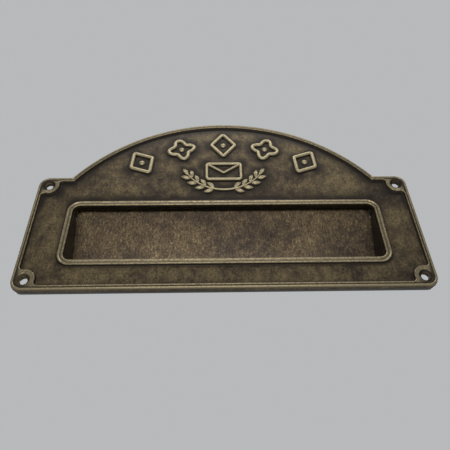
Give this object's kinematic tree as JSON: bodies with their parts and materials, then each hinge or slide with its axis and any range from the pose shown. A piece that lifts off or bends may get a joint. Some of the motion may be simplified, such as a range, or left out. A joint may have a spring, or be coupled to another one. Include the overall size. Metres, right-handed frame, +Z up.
{
  "type": "letter plate",
  "caption": "Cast brass letter plate with an arched top, a framed slot and a flap that swings inwards on a hinge rod.",
  "frame": {"origin": "centre of the four wall-screw holes, on the plane of the wall", "axes": "+X to the right as the front is seen, +Z up, the front faces -Y and the wall is the plane Y = 0"},
  "size_m": [0.29, 0.0282, 0.161],
  "materials": {
    "aged_brass": "dark brown patina, worn to pale gold on raised edges",
    "flap_brass": "dark speckled patina",
    "chute_brass": "brown patina",
    "rod_brass": "drawn bar",
    "washer_brass": "stamped",
    "screw_brass": "turned",
    "spring_steel": "dark, oiled",
    "buffer_rubber": "matt"
  },
  "bodies": {
    "plate": {"front_plate": "aged_brass", "left_cheek": "chute_brass", "right_cheek": "chute_brass", "sill": "chute_brass", "hood": "chute_brass", "hinge_rod": "rod_brass", "left_rod_washer": "washer_brass", "right_rod_washer": "washer_brass", "left_rod_clip": "spring_steel", "right_rod_clip": "spring_steel", "left_buffer": "buffer_rubber", "right_buffer": "buffer_rubber", "cheek_screws": "screw_brass", "cheek_screw_washers": "washer_brass", "sill_screws": "screw_brass", "sill_screw_washers": "washer_brass", "hood_screws": "screw_brass", "hood_screw_washers": "washer_brass"},
    "flap": {"flap": "flap_brass"}
  },
  "joints": [
    {"name": "flap_hinge", "type": "hinge", "parent": "plate", "child": "flap", "pos_m": [0, 0.006, 0.024], "axis": [1, 0, 0], "range_deg": [0, 70]}
  ]
}
